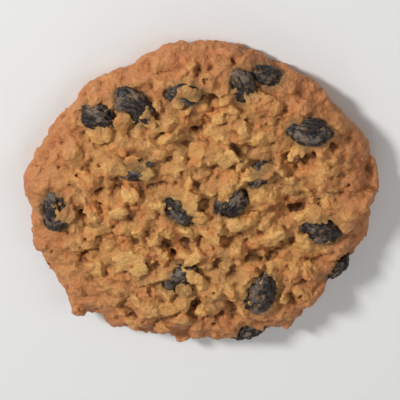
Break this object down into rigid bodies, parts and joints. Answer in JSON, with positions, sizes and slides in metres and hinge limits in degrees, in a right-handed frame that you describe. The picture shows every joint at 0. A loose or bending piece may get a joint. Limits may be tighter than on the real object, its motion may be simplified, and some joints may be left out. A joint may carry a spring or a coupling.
{
  "type": "oatmeal raisin cookie",
  "caption": "Round drop-baked oatmeal raisin cookie with a craggy oat crust, raisins set in its top, edge and underside, and a flat base.",
  "frame": {"origin": "middle of the flat baked underside, below the centre of the cookie's box", "axes": "+Z up out of the craggy top face, +Y towards the edge that leaned nearest the camera in the tray, +X to the right as seen with +Y up"},
  "size_m": [0.0818, 0.0804, 0.0129],
  "materials": {
    "baked_dough": "matte crumbly baked oat crust, golden to orange brown",
    "raisin_skin": "wrinkled, satin, blue black to dark brown"
  },
  "bodies": {
    "root": {"dough": "baked_dough", "raisin_01": "raisin_skin", "raisin_02": "raisin_skin", "raisin_03": "raisin_skin", "raisin_04": "raisin_skin", "raisin_05": "raisin_skin", "raisin_06": "raisin_skin", "raisin_07": "raisin_skin", "raisin_08": "raisin_skin", "raisin_09": "raisin_skin", "raisin_10": "raisin_skin", "raisin_11": "raisin_skin", "raisin_12": "raisin_skin", "raisin_13": "raisin_skin", "raisin_14": "raisin_skin", "raisin_15": "raisin_skin", "raisin_16": "raisin_skin", "raisin_17": "raisin_skin", "raisin_18": "raisin_skin", "raisin_19": "raisin_skin"}
  },
  "joints": []
}
